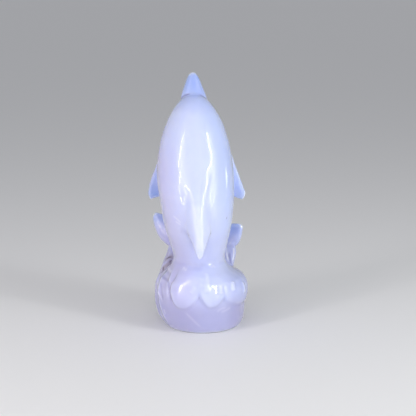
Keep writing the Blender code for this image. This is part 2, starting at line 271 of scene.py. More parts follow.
def pectoralFin(side):
    # The table is for the right side, where side is 1; on the left it is -1
    table, centre = dolphin["pectoralFin"], dolphin["pectoralCentre"]
    rows = []
    for station, (lx, ly, lz, tx, ty, tz, thickness) in enumerate(table):
        along = station / (len(table) - 1)
        out = dolphin["pectoralBow"][side] * 4 * along * (1 - along)
        rows.append((centre + side * (lx + out), ly, lz, centre + side * (tx + out), ty, tz, thickness))
    return blade("pectoralFin", inMetres(rows), dolphin["edgeBluntness"])


# The wave. Its width and depth are across the hollows, between the lobes.
wave = {
    "width": 0.0391,
    "depth": 0.0420,
    "height": 0.0310,
    "centre": (0.0017, 0.0010),
    "ringPoints": 320,
    "samplesPerSpan": 8,
    # Shares of the height, half width and half depth, and how far that level is shifted
    "profile": (
        (0.000, 0.730, 0.710, 0.040, -0.006),
        (0.016, 0.785, 0.765, 0.040, -0.006),
        (0.042, 0.845, 0.830, 0.038, -0.006),
        (0.097, 0.898, 0.890, 0.032, -0.004),
        (0.161, 0.935, 0.930, 0.022, 0.000),
        (0.258, 0.965, 0.966, 0.010, 0.000),
        (0.355, 0.985, 0.985, 0.000, 0.000),
        (0.484, 0.985, 0.990, 0.000, 0.000),
        (0.606, 0.975, 0.980, 0.000, -0.005),
        (0.700, 0.905, 0.950, -0.004, -0.020),
        (0.765, 0.770, 0.900, -0.020, -0.045),
        (0.825, 0.675, 0.828, -0.038, -0.066),
        (0.885, 0.610, 0.706, -0.042, -0.052),
        (0.950, 0.575, 0.600, -0.040, -0.018),
        (1.030, 0.555, 0.565, -0.040, -0.026),
    ),
    "lobeBulge": 0.0014,
    "lobeLip": 0.0040,  # height of the rounding under a lobe
    "lipRoundness": 0.65,  # 1 is soft, 0.5 has a sharp edge
    "scallop": 2.4,  # the higher, the flatter the bottom of a lobe
    "domeCurve": 2.2,
    "valleysRun": (0.004, 0.013),  # heights above the lips between which the valleys run out
    "sideSquareness": 9,  # of the lobes whose side stands free
    "lobesFade": (0.70, 0.95),  # shares of the height between which the lobes run out upwards
    # Start and end in degrees from straight back towards +X, height of the lip as a share of the wave's, how
    # far its middle leans to the start, then for either side how much higher the lip is there, how square
    # that side is if it stands free, and how deep its valley is
    "lobes": (
        (-45, -2, 0.378, 0.45, (0.0210, 2.6, 0.40), (0.0064, 0.0, 0.35)),
        (-2, 31, 0.405, 0.30, (0.0056, 0.0, 0.35), (0.0046, 0.0, 0.30)),
        (31, 101, 0.375, 0.0, (0.0034, 0.0, 0.30), (0.0030, 0.0, 0.40)),
        (101, 131, 0.340, 0.0, (0.0040, 0.0, 0.40), (0.0030, 0.0, 0.40)),
        (131, 159, 0.380, 0.0, (0.0030, 0.0, 0.40), (0.0200, 2.6, 0.0)),
        (201, 229, 0.380, 0.0, (0.0200, 2.6, 0.0), (0.0030, 0.0, 0.40)),
        (229, 257, 0.340, 0.0, (0.0030, 0.0, 0.40), (0.0200, 2.6, 0.0)),
    ),
    "fluted": (-103, -44),  # the stretch that has flutes in place of lobes
    "flutesFade": (0.05, 0.22),
    "flutesEnd": 9,  # degrees over which they run out beside the first lobe
    "fluteRise": 0.0010,
    "flutePitch": 22.0,
    "fluteRidge": -66.0,
    "fluteSwirl": ((11.0, 0.55, 0.15), (-16.0, 0.62, 0.87)),  # degrees, and the shares it starts and ends at
    # Crests that carry the flukes, upwards: outer edge and inner edge (each sideways, forward, up) and
    # thickness, in hundredths of the dolphin's height
    "rightCrest": (
        (13.0, 5.5, 15.0, 3.0, 5.0, 15.0, 7.0),
        (14.2, 9.0, 20.0, 4.0, 8.2, 20.0, 6.4),
        (15.2, 12.2, 23.4, 4.0, 11.4, 23.4, 5.6),
        (15.8, 14.4, 25.4, 4.2, 13.8, 25.4, 5.0),
        (15.6, 16.2, 27.4, 4.4, 16.0, 27.4, 4.4),
        (14.6, 17.8, 30.2, 4.4, 17.8, 30.2, 3.6),
    ),
    "leftCrest": (
        (-15.2, 1.0, 12.0, -3.0, 4.0, 12.0, 8.0),
        (-15.7, 4.6, 17.2, -4.0, 7.0, 17.2, 7.6),
        (-14.9, 7.6, 20.4, -4.0, 9.6, 20.4, 6.8),
        (-13.8, 10.4, 22.9, -3.6, 12.0, 22.9, 6.0),
        (-12.6, 13.4, 25.4, -3.2, 14.4, 25.4, 5.2),
        (-11.8, 16.2, 28.0, -3.0, 16.6, 28.0, 4.4),
        (-12.0, 17.8, 30.4, -3.0, 17.8, 30.4, 3.8),
    ),
}


def lobeRelief(degrees, heightShare):
    # About 1 on a lobe, falling off round under its scalloped lip and to the valleys on either side
    for start, end, bottom, lean, *sides in wave["lobes"]:
        across = (2 * degrees - start - end) / (end - start)
        if abs(across) > 1:
            continue
        rise, square, valley = sides[across > 0]
        rise *= 1 - (1 - abs(across) ** square) ** (1 / square) if square else abs(across) ** wave["scallop"]
        above = (heightShare - bottom) * wave["height"] - rise
        rounding = min(max(above / wave["lobeLip"], 0.0), 1.0)
        valley *= abs(across) ** wave["domeCurve"] * (1 - ease(above, *wave["valleysRun"]))
        relief = 1 - lean * across * (1 - across * across) - valley
        if square:
            relief *= math.sqrt(1 - abs(across) ** wave["sideSquareness"])
        return relief * (rounding * (2 - rounding)) ** wave["lipRoundness"]
    return 0.0


def fluteRelief(degrees, heightShare):
    # 1 along a ridge and 0 in a hollow; the ridges swing round as they climb
    start, end = wave["fluted"]
    if not start < degrees < end:
        return 0.0
    swing = sum(turn * ease(heightShare, low, high) for turn, low, high in wave["fluteSwirl"])
    phase = (degrees - wave["fluteRidge"] - swing) / wave["flutePitch"] % 1
    crest = (2 * phase - 1) ** 2
    return crest * ease(heightShare, *wave["flutesFade"]) * ease(end - degrees, 0, wave["flutesEnd"])


def waveForm(name, carved):
    halfWidth, halfDepth = wave["width"] / 2, wave["depth"] / 2
    centreX, centreY = wave["centre"]
    rings = []
    for heightShare, reachX, reachY, shiftX, shiftY in smoothThrough(wave["profile"], wave["samplesPerSpan"]):
        ring = []
        runOut = 1 - ease(heightShare, *wave["lobesFade"])
        for i in range(wave["ringPoints"]):
            degrees = wave["fluted"][0] + 360 * i / wave["ringPoints"]
            standOut = 0.0
            if carved:
                lobe = lobeRelief(degrees, heightShare)
                flute = fluteRelief(degrees, heightShare)
                standOut = runOut * max(wave["lobeBulge"] * lobe, wave["fluteRise"] * flute)
            outX, outY = math.sin(math.radians(degrees)), -math.cos(math.radians(degrees))
            ring.append(Vector((
                centreX + halfWidth * (shiftX + reachX * outX) + standOut * outX,
                centreY + halfDepth * (shiftY + reachY * outY) + standOut * outY,
                wave["height"] * heightShare,
            )))
        rings.append(ring)
    return loft(name, rings)


# How softly the stone is ground where its forms meet, and how fine its mesh is
grinding = {
    "softGrid": 0.0005,
    "softPasses": 43,
    "crispGrid": 0.00045,
    "crispPasses": 9,
    "smoothing": 0.5,  # how far each pass moves a point to the middle of its neighbours
    "footTakenOff": 0.0004,
    "setBack": 0.00069,
}


def fuse(name, forms, grid, passes):
    # Melts overlapping forms into one skin, and softens the lines where they meet
    mesh = bmesh.new()
    for form in forms:
        mesh.from_mesh(form.data)
        bpy.data.objects.remove(form)
    made = finishMesh(name, mesh)
    skin = made.modifiers.new("skin", "REMESH")
    skin.mode = "VOXEL"
    skin.voxel_size = grid
    soften = made.modifiers.new("soften", "SMOOTH")
    soften.factor = grinding["smoothing"]
    soften.iterations = passes
    return settle(made)


def settle(made):
    # Turns the modifiers' result into the object's own mesh
    graph = bpy.context.evaluated_depsgraph_get()
    data = bpy.data.meshes.new_from_object(made.evaluated_get(graph))
    made.modifiers.clear()
    made.data = data
    return made


def roughOutStone():
    softBody = fuse("softBody", [
        waveForm("plainWave", carved=False),
        roundLimb("trunk", inMetres(dolphin["trunk"])),
        roundLimb("throat", inMetres(dolphin["throat"])),
        roundLimb("stockRoot", inMetres(dolphin["tailStock"])),
        dorsalFin("finRoot", sharp=False),
    ], grinding["softGrid"], grinding["softPasses"])
    return fuse("carvedDolphin", [
        softBody,
        waveForm("carvedWave", carved=True),
        blade("rightCrest", inMetres(wave["rightCrest"]), dolphin["edgeBluntness"]),
        blade("leftCrest", inMetres(wave["leftCrest"]), dolphin["edgeBluntness"]),
        roundLimb("beak", inMetres(dolphin["beak"]), dolphin["beakSquareness"]),
        roundLimb("tailStock", inMetres(dolphin["tailStock"])),
        dorsalFin("dorsalFin", sharp=True),
        pectoralFin(1),
        pectoralFin(-1),
        blade("rightFluke", inMetres(dolphin["rightFluke"]), dolphin["flukeBluntness"]),
        blade("leftFluke", inMetres(dolphin["leftFluke"]), dolphin["flukeBluntness"]),
    ], grinding["crispGrid"], grinding["crispPasses"])


def setOnFoot(stone):
    # Presses the foot flat, then moves the stone to where the frame's solid stands
    shift = Vector((0, -grinding["setBack"], -grinding["footTakenOff"]))
    for point in stone.data.vertices:
        point.co.z = max(point.co.z, grinding["footTakenOff"])
        point.co += shift
    return shift


carvedDolphin = roughOutStone()
shiftDone = setOnFoot(carvedDolphin)
print("stone roughed out:", len(carvedDolphin.data.polygons), "faces")


def addNode(tree, kind, settings=None, inputs=None):
    # Adds a node with its own settings; an input's value is a number, a colour or the socket that feeds it
    made = tree.nodes.new(kind)
    for name, value in (settings or {}).items():
        setattr(made, name, value)
    for key, value in (inputs or {}).items():
        if isinstance(value, bpy.types.NodeSocket):
            tree.links.new(value, made.inputs[key])
        else:
            made.inputs[key].default_value = value
    return made


def addMath(tree, operation, *values, clamp=False):
    settings = {"operation": operation, "use_clamp": clamp}
    return addNode(tree, "ShaderNodeMath", settings, dict(enumerate(values))).outputs[0]


def addVectorMath(tree, operation, *values):
    return addNode(tree, "ShaderNodeVectorMath", {"operation": operation}, dict(enumerate(values))).outputs


def addRamp(tree, value, start, end, low=0.0, high=1.0, curve="SMOOTHSTEP"):
    # Goes from the low value to the high one as the given value goes from start to end
    return addNode(tree, "ShaderNodeMapRange", {"interpolation_type": curve}, {
        "Value": value, "From Min": start, "From Max": end, "To Min": low, "To Max": high,
    }).outputs[0]


# Lines in the surface. Their points are sideways, forward and up in hundredths of the dolphin's height, and
# are drawn in to the nearest place on the stone. Depth and half width are in metres; shade darkens a line,
# or whitens it where it is below 0, and stain is how brown it is.
stoneLines = {
    "samplesPerSpan": 14,
    "runOut": 0.22,  # share of a line over which it fades at either end
    "values": ("depth", "halfWidth", "shade", "stain"),  # of each kind, in this order
    "fineKinds": {
        "beakCrease": (0.00016, 0.0007, 0.8, 0.0),
        "mouth": (0.00045, 0.0008, 0.6, 0.0),
        "eye": (0.00035, 0.0006, 0.6, 0.0),
        "groove": (0.00028, 0.0012, 0.30, 0.0),
        "faintGroove": (0.00016, 0.0010, 0.2, 0.0),
        # Raised and whitened: painted light along a ridge
        "ridge": (-0.00014, 0.0010, -0.25, 0.0),
        "vein": (0.00002, 0.0008, -0.17, 0.0),
        "scratchAndPaintedGlint": (0.00003, 0.0007, -0.32, 0.0),
        "pit": (0.00020, 0.0006, 0.7, 0.3),
        "stain": (0.00010, 0.0009, 0.3, 1.0),
        "crestRidgePaintedLight": (-0.00022, 0.0008, -0.40, 0.0),
        "crestGroovePaintedShade": (0.00035, 0.0010, 0.45, 0.0),
    },
    # These lie under the fine ones, and both show where they cross
    "broadKinds": {
        "swell": (-0.00036, 0.0019, 0.0, 0.0),
        "faintSwell": (-0.00020, 0.0019, 0.0, 0.0),
        "paintedRidgeLight": (0.0, 0.0046, -0.15, 0.0),
        "softStain": (0.0, 0.0028, 0.0, 0.60),
        "softShade": (0.0, 0.0026, 0.13, 0.0),
    },
    "lines": (
        # Behind the beak
        ("beakCrease", (
            (-6.6, 4.2, 88.6), (-6.2, 2.8, 89.5), (-5.2, 1.8, 90.3), (-3.8, 0.9, 91.1), (-2.0, 0.5, 91.6),
        )),
        ("beakCrease", (
            (4.2, 4.2, 88.2), (3.9, 2.9, 89.0), (3.1, 1.4, 89.9), (2.2, 0.9, 90.7), (0.4, 0.5, 91.4),
        )),
        # Beside the first lobe and on the fluted side, whose ridges are whitened as painted light
        ("groove", (
            (-14.4, -0.4, 20.6), (-12.8, -6.4, 20.9), (-11.0, -11.4, 19.8),
            (-10.7, -12.4, 17.3), (-10.2, -13.2, 14.2), (-9.4, -14.0, 11.6),
        )),
        ("faintGroove", ((-13.0, 5.0, 22.1), (-12.2, -2.7, 22.8), (-11.1, -6.5, 22.6), (-10.0, -9.4, 22.1))),
        ("faintGroove", ((-14.5, -6.3, 19.3), (-14.0, -8.0, 17.7), (-13.6, -8.8, 15.1), (-13.0, -9.8, 12.0))),
        ("faintGroove", (
            (-16.0, -0.5, 17.5), (-15.8, -2.4, 14.6), (-15.3, -4.3, 12.3),
            (-15.0, -5.4, 10.0), (-14.6, -5.2, 7.6),
        )),
        ("ridge", ((-12.5, 6.0, 23.6), (-11.5, -1.2, 23.6), (-10.6, -5.2, 23.4), (-9.3, -8.1, 23.3))),
        ("vein", ((-11.3, -11.9, 17.8), (-11.3, -12.1, 16.0), (-11.2, -12.3, 14.0))),
        ("ridge", (
            (-15.6, 1.0, 18.9), (-15.4, -2.4, 17.6), (-14.9, -6.0, 15.6),
            (-14.1, -8.3, 13.6), (-13.0, -9.9, 11.4),
        )),
        # Painted light down the ridge of the dorsal fin
        ("paintedRidgeLight", (
            (0.1, -20.1, 54.0), (0.3, -20.6, 48.0), (0.8, -21.0, 42.0),
            (1.1, -21.2, 37.0), (1.2, -21.3, 34.0),
        )),
        # Swells left by the wheel on the lobes
        ("faintSwell", ((-2.6, -18.3, 17.2), (-1.4, -18.2, 18.6), (0.0, -17.4, 20.2))),
        ("swell", ((3.4, -13.0, 24.4), (3.7, -15.4, 22.8), (3.9, -18.2, 19.8), (3.9, -18.8, 17.6))),
        ("swell", ((8.5, -15.7, 20.6), (9.2, -16.8, 18.5), (9.4, -17.0, 16.6))),
        ("swell", ((13.6, -11.9, 21.0), (13.9, -12.9, 19.0), (13.9, -13.2, 16.8))),
        ("swell", ((17.4, -7.2, 19.6), (18.2, -7.8, 17.0), (18.2, -7.8, 14.6))),
        # The flukes and the crests under them, with painted light on the crest's ridges and painted shade in
        # its grooves
        ("scratchAndPaintedGlint", ((-16.9, 16.6, 39.0), (-16.2, 16.2, 37.2), (-15.2, 15.9, 35.2))),
        ("scratchAndPaintedGlint", ((-16.0, 16.2, 37.6), (-15.4, 16.0, 36.0), (-14.6, 15.8, 34.2), (-13.6, 15.7, 32.8))),
        ("scratchAndPaintedGlint", ((-14.6, 15.8, 35.2), (-13.9, 15.8, 33.8), (-13.0, 15.7, 32.4))),
        ("vein", ((14.6, 15.6, 31.6), (14.0, 15.2, 30.6), (13.0, 14.9, 29.4), (12.2, 14.4, 28.4))),
        ("crestRidgePaintedLight", ((11.5, 13.6, 28.6), (11.58, 12.4, 27.3), (11.9, 10.0, 25.4), (12.3, 7.7, 23.5))),
        ("crestGroovePaintedShade", ((12.7, 12.0, 26.8), (12.95, 10.1, 25.0), (13.26, 8.8, 23.6), (13.64, 7.8, 22.6))),
        ("crestRidgePaintedLight", ((14.7, 14.0, 28.4), (14.6, 13.2, 27.2), (14.6, 11.1, 25.2), (13.9, 8.9, 23.2))),
        ("faintGroove", ((-12.0, 14.0, 29.0), (-12.0, 11.6, 26.6), (-12.6, 9.2, 24.6), (-13.4, 6.6, 22.8))),
        # Healed cracks, scratches left by the polishing, and a pit
        ("vein", ((-4.5, -16.7, 9.8), (-2.6, -17.0, 7.9), (-0.3, -17.0, 5.5), (2.4, -16.2, 2.9))),
        ("vein", ((7.4, -16.8, 9.6), (9.6, -15.8, 10.9), (11.4, -14.6, 11.0))),
        ("vein", ((9.0, -16.2, 9.4), (11.2, -14.7, 9.9), (13.2, -13.2, 10.8))),
        ("scratchAndPaintedGlint", ((-9.2, -13.8, 47.0), (-7.4, -15.0, 45.7), (-5.7, -15.7, 44.1))),
        ("scratchAndPaintedGlint", ((-8.4, -14.4, 44.8), (-7.0, -15.2, 43.9), (-6.0, -15.5, 43.4))),
        # Painted highlights: a glint low on the left of the foot and two on the wave's shoulders
        ("scratchAndPaintedGlint", ((-12.9, -10.1, 9.2), (-12.6, -10.3, 8.3), (-12.1, -10.5, 6.8))),
        ("scratchAndPaintedGlint", ((-5.6, -12.2, 24.5), (-4.9, -10.3, 25.7), (-4.3, -12.2, 25.0), (-3.8, -10.6, 26.0))),
        ("scratchAndPaintedGlint", ((4.7, -10.4, 26.9), (5.6, -10.5, 26.0), (6.4, -9.7, 26.3), (7.3, -10.3, 25.3))),
        ("pit", ((11.4, -11.3, 45.5), (11.7, -10.9, 45.1))),
        # Brown spots beside the left crest
        ("stain", ((-13.6, 6.2, 22.4), (-13.9, 4.0, 21.8), (-14.4, 1.0, 20.9))),
        ("stain", (
            (-10.0, 7.0, 24.4), (-10.5, 7.4, 24.2), (-10.9, 6.8, 23.7),
            (-10.5, 6.2, 23.5), (-10.0, 6.6, 23.9),
        )),
        ("stain", ((-13.2, 8.4, 24.4), (-12.15, 8.6, 24.9), (-10.96, 9.0, 25.3), (-9.9, 8.8, 25.2))),
        ("softStain", ((-9.6, 7.4, 24.3), (-11.0, 9.0, 25.2), (-12.2, 8.4, 24.6), (-13.4, 7.5, 23.4))),
        ("softStain", (
            (-9.8, 5.6, 23.8), (-10.5, 6.2, 23.6), (-11.7, 5.6, 22.9), (-13.7, 5.0, 21.9), (-14.4, 2.0, 20.6),
        )),
        # Painted shade beside the dorsal fin
        ("softShade", ((-6.4, -14.0, 41.6), (-5.2, -14.9, 41.1), (-3.6, -16.0, 40.5), (-2.3, -17.9, 39.0))),
    ),
    # The mouth and the eyes, on either side of the snout's centre
    "snoutCentre": -1.3,
    "mouthLine": (
        (1.4, 4.9, 98.4), (3.0, 4.8, 94.6), (4.8, 4.6, 90.2),
        (6.2, 4.4, 86.0), (7.4, 4.0, 82.6), (8.6, 3.0, 80.8),
    ),
    "eyePlace": (9.6, 1.6, 78.6),
    "eyeRadius": 0.9,
    "eyeFlatness": 0.8,
    "eyeCorners": 12,
}


def eyeRing():
    x, y, z = stoneLines["eyePlace"]
    radius, flatness, corners = stoneLines["eyeRadius"], stoneLines["eyeFlatness"], stoneLines["eyeCorners"]
    turns = [2 * math.pi * i / corners for i in range(corners + 1)]
    return [(x, y + radius * math.cos(a), z + flatness * radius * math.sin(a)) for a in turns]


def drawLines(kinds):
    # The lines of these kinds as loose edges of one mesh, with depth, width and tints at each point
    lines = list(stoneLines["lines"])
    for side in (-1, 1):
        for kind, path in (("mouth", stoneLines["mouthLine"]), ("eye", eyeRing())):
            lines.append((kind, [(stoneLines["snoutCentre"] + side * x, y, z) for x, y, z in path]))
    mesh = bmesh.new()
    layers = {name: mesh.verts.layers.float.new(name) for name in stoneLines["values"]}
    for kind, path in lines:
        if kind not in kinds:
            continue
        curve = inMetres(smoothThrough(path, stoneLines["samplesPerSpan"]))
        before = None
        for i, point in enumerate(curve):
            share = i / (len(curve) - 1)
            fade = 1 if kind == "eye" else ease(min(share, 1 - share), 0, stoneLines["runOut"])
            corner = mesh.verts.new(point)
            for name, value in zip(stoneLines["values"], kinds[kind]):
                corner[layers[name]] = value if name == "halfWidth" else value * fade
            if before:
                mesh.edges.new((before, corner))
            before = corner
    drawn = finishMesh("stoneLines", mesh)
    for point in drawn.data.vertices:
        point.co += shiftDone
    return drawn


# How the stone is finished by hand once it is roughed out
carving = {
    # The tree's own inputs
    "sizes": {
        "Ripple Size": 0.007,
        "Ripple Depth": 0.00010,
        "Thin": 0.0015,  # up to this thickness the stone counts as thin, and from the next on as thick
        "Thick": 0.0068,
        "Edge Curve": 0.00022,  # how far a full edge or crease stands off its own average
        "Shelter Reach": 0.014,
        "Lobe Relief": 0.0012,  # how far a full lobe stands out
        "Edge Passes": 12,
    },
    "evenedFrom": (0.05, 0.20),  # thinness between which edges come to be evened
    "lookThrough": 0.05,  # how far the rays look that measure thickness
    "startInside": 0.0002,  # rays start this far inside or outside the surface
    "startOutside": 0.0003,
    "shelterRays": 18,
    "thinPasses": 10,  # how often each measure is averaged with its neighbours
    "bendPasses": 8,
    "shelterPasses": 6,
    "reliefPasses": 14,
}


def addBlur(tree, value, passes, kind="FLOAT"):
    return addNode(tree, "GeometryNodeBlurAttribute", {"data_type": kind}, {
        "Value": value, "Iterations": passes,
    }).outputs[0]


def addInput(tree, name):
    # Each point's Position or Normal
    return addNode(tree, "GeometryNodeInput" + name).outputs[0]


def addObject(tree, source):
    settings = {"transform_space": "ORIGINAL"}
    return addNode(tree, "GeometryNodeObjectInfo", settings, {"Object": source}).outputs["Geometry"]


def addNearest(tree, target, element="FACES"):
    return addNode(tree, "GeometryNodeProximity", {"target_element": element}, {"Target": target}).outputs


def offSurface(tree, distance):
    # Each point, moved straight out by the distance
    normal, place = addInput(tree, "Normal"), addInput(tree, "Position")
    return addVectorMath(tree, "MULTIPLY_ADD", normal, (distance,) * 3, place)[0]


def thinness(tree, given, stone):
    # 1 where the stone is thin, measured straight in, and 0 where it is thick
    ray = addNode(tree, "GeometryNodeRaycast", None, {
        "Target Geometry": stone,
        "Source Position": offSurface(tree, -carving["startInside"]),
        "Ray Direction": addVectorMath(tree, "MULTIPLY", addInput(tree, "Normal"), (-1, -1, -1))[0],
        "Ray Length": carving["lookThrough"],
    })
    through = addNode(tree, "GeometryNodeSwitch", {"input_type": "FLOAT"}, {
        "Switch": ray.outputs["Is Hit"], "False": carving["lookThrough"], "True": ray.outputs["Hit Distance"],
    }).outputs[0]
    thin = addRamp(tree, through, given["Thin"], given["Thick"], 1.0, 0.0)
    return addBlur(tree, thin, carving["thinPasses"])


def evenEdges(tree, given):
    # Smooths the fins' edges, then sets them back out by as much as a second smoothing takes off
    place = addInput(tree, "Position")
    once = addBlur(tree, place, given["Edge Passes"], "FLOAT_VECTOR")
    twice = addBlur(tree, once, given["Edge Passes"], "FLOAT_VECTOR")
    lost = addVectorMath(tree, "SUBTRACT", once, twice)[0]
    even = addVectorMath(tree, "ADD", once, lost)[0]
    share = addRamp(tree, thinness(tree, given, given["Geometry"]), *carving["evenedFrom"])
    evened = addNode(tree, "ShaderNodeMix", {"data_type": "VECTOR"}, {0: share, 4: place, 5: even}).outputs[1]
    return addNode(tree, "GeometryNodeSetPosition", None, {
        "Geometry": given["Geometry"], "Position": evened,
    }).outputs[0]


def cutLines(tree, stone, drawn):
    # How deep the lines of one object cut at each point of the stone, and how they shade and stain it
    lines = addNode(tree, "GeometryNodeSetPosition", None, {
        "Geometry": addObject(tree, drawn), "Position": addNearest(tree, stone)["Position"],
    }).outputs[0]
    away = addNearest(tree, lines, "EDGES")["Distance"]
    point = addNode(tree, "GeometryNodeSampleNearest", {"domain": "POINT"}, {"Geometry": lines}).outputs[0]
    values = {}
    for name in stoneLines["values"]:
        stored = addNode(tree, "GeometryNodeInputNamedAttribute", {"data_type": "FLOAT"}, {"Name": name})
        values[name] = addNode(tree, "GeometryNodeSampleIndex", {"data_type": "FLOAT", "domain": "POINT"}, {
            "Geometry": lines, "Value": stored.outputs[0], "Index": point,
        }).outputs[0]
    profile = addRamp(tree, away, 0.0, values["halfWidth"], 1.0, 0.0)
    return [addMath(tree, "MULTIPLY", profile, values[name]) for name in ("depth", "shade", "stain")]


def cutSurface(tree, given, stone, cut):
    # Leaves the faint ripple of hand grinding, and the lines
    scale = addMath(tree, "DIVIDE", 1.0, given["Ripple Size"])
    noise = addNode(tree, "ShaderNodeTexNoise", {"normalize": False}, {
        "Vector": addInput(tree, "Position"), "Scale": scale, "Detail": 1.0,
    }).outputs[0]
    lift = addMath(tree, "SUBTRACT", addMath(tree, "MULTIPLY", noise, given["Ripple Depth"]), cut)
    push = addVectorMath(tree, "MULTIPLY", addInput(tree, "Normal"), lift)[0]
    return addNode(tree, "GeometryNodeSetPosition", None, {"Geometry": stone, "Offset": push}).outputs[0]


def bending(tree, given):
    # How sharply the surface bends: above 0 on an edge, below 0 in a crease
    place = addInput(tree, "Position")
    average = addBlur(tree, place, carving["bendPasses"], "FLOAT_VECTOR")
    apart = addVectorMath(tree, "SUBTRACT", place, average)[0]
    stands = addVectorMath(tree, "DOT_PRODUCT", apart, addInput(tree, "Normal"))["Value"]
    return addMath(tree, "DIVIDE", stands, given["Edge Curve"])


def evenDirections(count):
    # Spread evenly over a sphere, each turned from the one before by the golden angle
    ways = []
    for i in range(count):
        rise = 1 - 2 * (i + 0.5) / count
        flat, turn = math.sqrt(1 - rise * rise), i * math.pi * (3 - math.sqrt(5))
        ways.append((flat * math.cos(turn), flat * math.sin(turn), rise))
    return ways


def sheltered(tree, given, stone):
    # How much of what a point faces is hidden by the stone close by
    normal, start = addInput(tree, "Normal"), offSurface(tree, carving["startOutside"])
    hidden, faced = 0.0, 0.0001  # faced starts above 0 because it is divided by
    for way in evenDirections(carving["shelterRays"]):
        facing = addMath(tree, "MAXIMUM", addVectorMath(tree, "DOT_PRODUCT", normal, way)["Value"], 0.0)
        ray = addNode(tree, "GeometryNodeRaycast", None, {
            "Target Geometry": stone, "Source Position": start, "Ray Direction": way,
            "Ray Length": given["Shelter Reach"],
        })
        near = addRamp(tree, ray.outputs["Hit Distance"], 0.0, given["Shelter Reach"], 1.0, 0.0, "LINEAR")
        near = addMath(tree, "MULTIPLY", near, ray.outputs["Is Hit"])
        hidden = addMath(tree, "MULTIPLY_ADD", near, facing, hidden)
        faced = addMath(tree, "ADD", facing, faced)
    return addBlur(tree, addMath(tree, "DIVIDE", hidden, faced), carving["shelterPasses"])


def lobesStandOut(tree, given):
    # How far the lobes stand out from the plain wave
    gap = addNearest(tree, addObject(tree, given["Plain Wave"]))["Distance"]
    gap = addBlur(tree, gap, carving["reliefPasses"])
    return addMath(tree, "DIVIDE", gap, given["Lobe Relief"])


def carvingTree():
    # Evens the edges, cuts the lines, and stores at each point what the polish goes by
    tree = bpy.data.node_groups.new("carveStone", "GeometryNodeTree")
    wanted = [("Geometry", "Geometry")]
    wanted += [(name, "Object") for name in ("Broad Lines", "Fine Lines", "Plain Wave")]
    wanted += [(name, "Float") for name in carving["sizes"]]
    wanted += [("Material", "Material")]
    for name, kind in wanted:
        tree.interface.new_socket(name, in_out="INPUT", socket_type="NodeSocket" + kind)
    tree.interface.new_socket("Geometry", in_out="OUTPUT", socket_type="NodeSocketGeometry")
    given = addNode(tree, "NodeGroupInput").outputs

    evened = evenEdges(tree, given)
    broadCut, broadShade, broadStain = cutLines(tree, evened, given["Broad Lines"])
    fineCut, fineShade, fineStain = cutLines(tree, evened, given["Fine Lines"])
    carved = cutSurface(tree, given, evened, addMath(tree, "ADD", broadCut, fineCut))
    measures = {
        "thinness": thinness(tree, given, carved),
        "bend": bending(tree, given),
        "shelter": sheltered(tree, given, carved),
        "relief": lobesStandOut(tree, given),
        "lineShade": addMath(tree, "ADD", broadShade, fineShade),
        "lineStain": addMath(tree, "MAXIMUM", broadStain, fineStain),
    }
    for name, value in measures.items():
        carved = addNode(tree, "GeometryNodeStoreNamedAttribute", {"data_type": "FLOAT", "domain": "POINT"}, {
            "Geometry": carved, "Name": name, "Value": value,
        }).outputs[0]
    smooth = addNode(tree, "GeometryNodeSetShadeSmooth", None, {"Geometry": carved}).outputs[0]
    real = addNode(tree, "GeometryNodeRealizeInstances", None, {"Geometry": smooth}).outputs[0]
    polished = addNode(tree, "GeometryNodeSetMaterial", None, {
        "Geometry": real, "Material": given["Material"],
    }).outputs[0]
    addNode(tree, "NodeGroupOutput", None, {"Geometry": polished})
    return tree


def carve(stone, finish):
    tree = carvingTree()
    modifier = stone.modifiers.new("carving", "NODES")
    modifier.node_group = tree
    plainWave = waveForm("plainWave", carved=False)
    for point in plainWave.data.vertices:
        point.co += shiftDone
    helpers = {
        "Broad Lines": drawLines(stoneLines["broadKinds"]),
        "Fine Lines": drawLines(stoneLines["fineKinds"]),
        "Plain Wave": plainWave,
    }
    chosen = {**carving["sizes"], **helpers, "Material": finish}
    for socket in tree.interface.items_tree:
        if socket.in_out == "INPUT" and socket.name in chosen:
            modifier[socket.identifier] = chosen[socket.name]
    settle(stone)
    for point in stone.data.vertices:
        point.co.z = max(point.co.z, stoneLow.z)
    for helper in helpers.values():
        bpy.data.objects.remove(helper)


